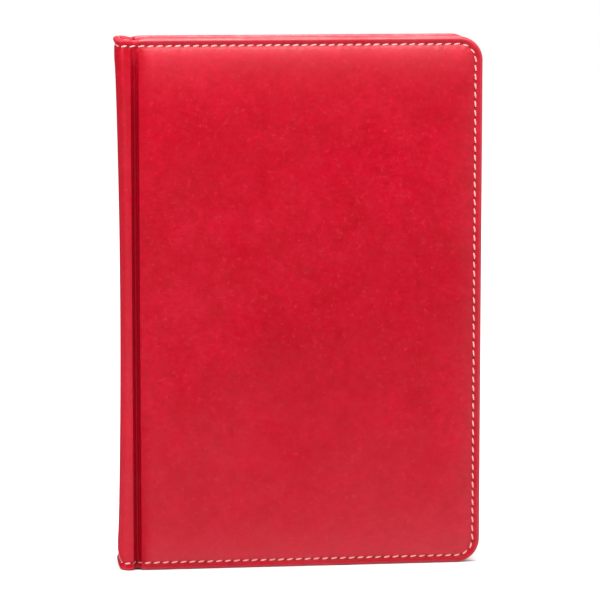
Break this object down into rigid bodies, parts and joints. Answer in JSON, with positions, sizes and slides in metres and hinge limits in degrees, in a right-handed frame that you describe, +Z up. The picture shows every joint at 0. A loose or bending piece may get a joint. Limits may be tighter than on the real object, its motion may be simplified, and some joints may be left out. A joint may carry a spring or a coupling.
{
  "type": "pocket notebook",
  "caption": "Hard-cover pocket notebook with padded leatherette covers, stitched edges, grooved joints and a hollow back; covers and leaves open.",
  "frame": {"origin": "centre of the closed book's footprint, on the floor under its tail edge", "axes": "+Z up from tail to head, +X from the spine to the fore edge, +Y from the front cover to the back cover"},
  "size_m": [0.104, 0.0178, 0.152],
  "materials": {
    "leatherette": "semi-matte, padded, fine mottled grain",
    "thread": "twisted polyester thread",
    "board": "grey board",
    "foam": "thin foam sheet",
    "gauze": "open weave",
    "kraft_paper": "matte",
    "band_cloth": "woven",
    "leaf_paper": "uncoated cream paper",
    "endpaper": "uncoated heavy paper"
  },
  "bodies": {
    "spine": {"spine_leather": "leatherette", "spine_board": "board", "spine_stitching": "thread", "spine_lining": "kraft_paper", "mull": "gauze", "section_folds": "leaf_paper", "sewing_thread": "thread", "head_band": "band_cloth", "tail_band": "band_cloth", "front_endpaper_fold": "endpaper", "back_endpaper_fold": "endpaper"},
    "front_case": {"front_cover_leather": "leatherette", "front_foam_pad": "foam", "front_board": "board", "front_mull_flange": "gauze", "front_pastedown": "endpaper", "front_stitching": "thread"},
    "back_case": {"back_cover_leather": "leatherette", "back_foam_pad": "foam", "back_board": "board", "back_mull_flange": "gauze", "back_pastedown": "endpaper", "back_stitching": "thread"},
    "front_fly": {"front_flyleaf": "endpaper"},
    "back_fly": {"back_flyleaf": "endpaper"},
    "body_leaves_f1": {"leaves_f1": "leaf_paper"},
    "body_leaves_f2": {"leaves_f2": "leaf_paper"},
    "body_leaves_f3": {"leaves_f3": "leaf_paper"},
    "body_leaves_f4": {"leaves_f4": "leaf_paper"},
    "body_leaves_f5": {"leaves_f5": "leaf_paper"},
    "body_leaves_f6": {"leaves_f6": "leaf_paper"},
    "body_leaves_b1": {"leaves_b1": "leaf_paper"},
    "body_leaves_b2": {"leaves_b2": "leaf_paper"},
    "body_leaves_b3": {"leaves_b3": "leaf_paper"},
    "body_leaves_b4": {"leaves_b4": "leaf_paper"},
    "body_leaves_b5": {"leaves_b5": "leaf_paper"},
    "body_leaves_b6": {"leaves_b6": "leaf_paper"}
  },
  "joints": [
    {"name": "front_cover_hinge", "type": "hinge", "parent": "spine", "child": "front_case", "pos_m": [-0.0471, -0.0091, 0], "axis": [0, 0, -1], "range_deg": [0, 180]},
    {"name": "back_cover_hinge", "type": "hinge", "parent": "spine", "child": "back_case", "pos_m": [-0.0471, 0.0091, 0], "axis": [0, 0, 1], "range_deg": [0, 180]},
    {"name": "front_flyleaf_turn", "type": "hinge", "parent": "spine", "child": "front_fly", "pos_m": [-0.0455, -0.00562, 0], "axis": [0, 0, -1], "range_deg": [0, 50]},
    {"name": "leaves_f1_turn", "type": "hinge", "parent": "spine", "child": "body_leaves_f1", "pos_m": [-0.0445, 0, 0], "axis": [0, 0, -1], "range_deg": [0, 5]},
    {"name": "leaves_f2_turn", "type": "hinge", "parent": "spine", "child": "body_leaves_f2", "pos_m": [-0.0445, -0.00047, 0], "axis": [0, 0, -1], "range_deg": [0, 10]},
    {"name": "leaves_f3_turn", "type": "hinge", "parent": "spine", "child": "body_leaves_f3", "pos_m": [-0.0445, -0.00093, 0], "axis": [0, 0, -1], "range_deg": [0, 15]},
    {"name": "leaves_f4_turn", "type": "hinge", "parent": "spine", "child": "body_leaves_f4", "pos_m": [-0.0445, -0.00139, 0], "axis": [0, 0, -1], "range_deg": [0, 20]},
    {"name": "leaves_f5_turn", "type": "hinge", "parent": "spine", "child": "body_leaves_f5", "pos_m": [-0.0445, -0.00186, 0], "axis": [0, 0, -1], "range_deg": [0, 25]},
    {"name": "leaves_f6_turn", "type": "hinge", "parent": "spine", "child": "body_leaves_f6", "pos_m": [-0.0445, -0.00232, 0], "axis": [0, 0, -1], "range_deg": [0, 30]},
    {"name": "back_flyleaf_turn", "type": "hinge", "parent": "spine", "child": "back_fly", "pos_m": [-0.0455, 0.00562, 0], "axis": [0, 0, 1], "range_deg": [0, 50]},
    {"name": "leaves_b1_turn", "type": "hinge", "parent": "spine", "child": "body_leaves_b1", "pos_m": [-0.0445, 0, 0], "axis": [0, 0, 1], "range_deg": [0, 5]},
    {"name": "leaves_b2_turn", "type": "hinge", "parent": "spine", "child": "body_leaves_b2", "pos_m": [-0.0445, 0.00047, 0], "axis": [0, 0, 1], "range_deg": [0, 10]},
    {"name": "leaves_b3_turn", "type": "hinge", "parent": "spine", "child": "body_leaves_b3", "pos_m": [-0.0445, 0.00093, 0], "axis": [0, 0, 1], "range_deg": [0, 15]},
    {"name": "leaves_b4_turn", "type": "hinge", "parent": "spine", "child": "body_leaves_b4", "pos_m": [-0.0445, 0.00139, 0], "axis": [0, 0, 1], "range_deg": [0, 20]},
    {"name": "leaves_b5_turn", "type": "hinge", "parent": "spine", "child": "body_leaves_b5", "pos_m": [-0.0445, 0.00186, 0], "axis": [0, 0, 1], "range_deg": [0, 25]},
    {"name": "leaves_b6_turn", "type": "hinge", "parent": "spine", "child": "body_leaves_b6", "pos_m": [-0.0445, 0.00232, 0], "axis": [0, 0, 1], "range_deg": [0, 30]}
  ],
  "couplings": [
    {"joint": "front_flyleaf_turn", "follows": "front_cover_hinge", "ratio": 0.27778},
    {"joint": "leaves_f1_turn", "follows": "front_cover_hinge", "ratio": 0.027778},
    {"joint": "leaves_f2_turn", "follows": "front_cover_hinge", "ratio": 0.055556},
    {"joint": "leaves_f3_turn", "follows": "front_cover_hinge", "ratio": 0.083333},
    {"joint": "leaves_f4_turn", "follows": "front_cover_hinge", "ratio": 0.11111},
    {"joint": "leaves_f5_turn", "follows": "front_cover_hinge", "ratio": 0.13889},
    {"joint": "leaves_f6_turn", "follows": "front_cover_hinge", "ratio": 0.16667},
    {"joint": "back_flyleaf_turn", "follows": "back_cover_hinge", "ratio": 0.27778},
    {"joint": "leaves_b1_turn", "follows": "back_cover_hinge", "ratio": 0.027778},
    {"joint": "leaves_b2_turn", "follows": "back_cover_hinge", "ratio": 0.055556},
    {"joint": "leaves_b3_turn", "follows": "back_cover_hinge", "ratio": 0.083333},
    {"joint": "leaves_b4_turn", "follows": "back_cover_hinge", "ratio": 0.11111},
    {"joint": "leaves_b5_turn", "follows": "back_cover_hinge", "ratio": 0.13889},
    {"joint": "leaves_b6_turn", "follows": "back_cover_hinge", "ratio": 0.16667}
  ]
}
